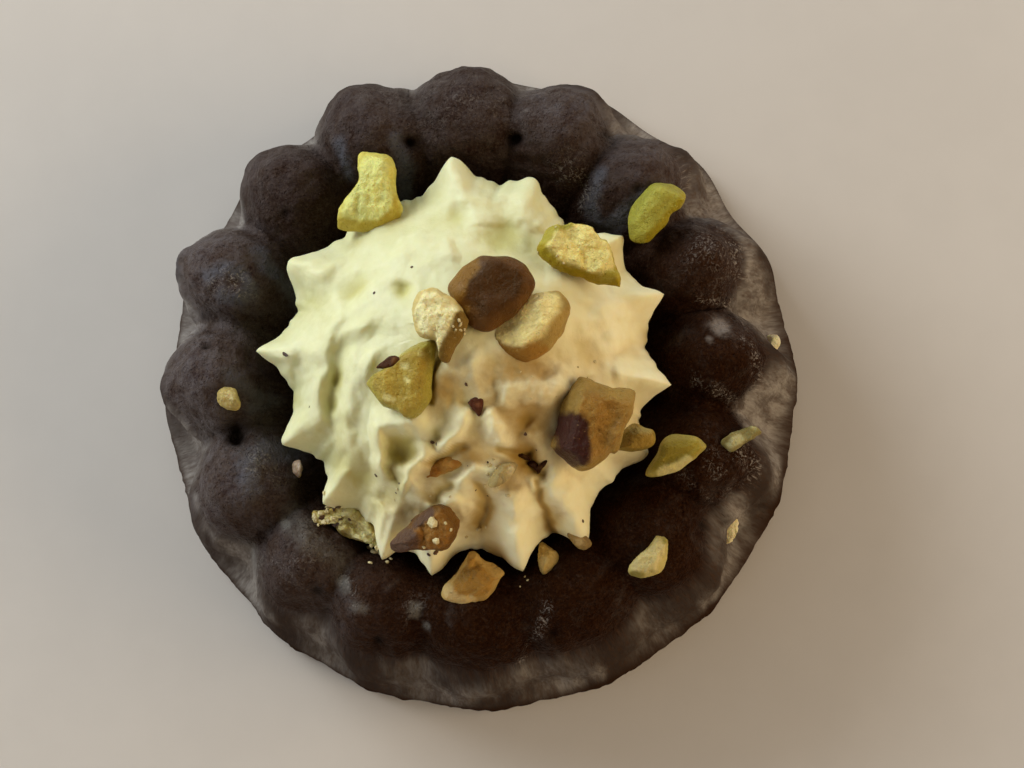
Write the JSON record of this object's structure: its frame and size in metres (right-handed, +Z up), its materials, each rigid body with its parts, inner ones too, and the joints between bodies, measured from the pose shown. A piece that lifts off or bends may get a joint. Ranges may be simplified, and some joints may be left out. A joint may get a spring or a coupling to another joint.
{
  "type": "mini bundt cake",
  "caption": "Small round fluted chocolate cake with a piped cream rosette over its middle and broken pistachio pieces scattered on top.",
  "frame": {"origin": "middle of the cake's flat base", "axes": "+Z up from the base, +X to the right and +Y away from the viewer in the view from above that the picture shows"},
  "size_m": [0.0992, 0.0996, 0.0608],
  "materials": {
    "glazed_chocolate": "moist dark chocolate cake with a thin glaze",
    "whipped_cream": "soft piped cream",
    "pale_kernel": "pale yellow-green kernel",
    "green_kernel": "olive-green kernel",
    "cut_kernel": "cream-yellow broken face",
    "brown_skin": "brown kernel skin",
    "purple_skin": "dark purple kernel skin",
    "amber_kernel": "moist amber kernel"
  },
  "bodies": {
    "root": {"cake": "glazed_chocolate", "cream": "whipped_cream", "pistachio_brown_round": "brown_skin", "pistachio_egg_half": "cut_kernel", "pistachio_half_moon": "cut_kernel", "pistachio_pale_chunk": "cut_kernel", "pistachio_green_fold": "green_kernel", "pistachio_purple_chunk": "purple_skin", "pistachio_olive_bit": "green_kernel", "pistachio_wedge": "pale_kernel", "pistachio_leaf": "green_kernel", "pistachio_green_side": "green_kernel", "pistachio_pale_drop": "pale_kernel", "pistachio_tan_chunk": "amber_kernel", "pistachio_amber_chunk": "amber_kernel", "pistachio_skin_cluster": "green_kernel"}
  },
  "joints": []
}
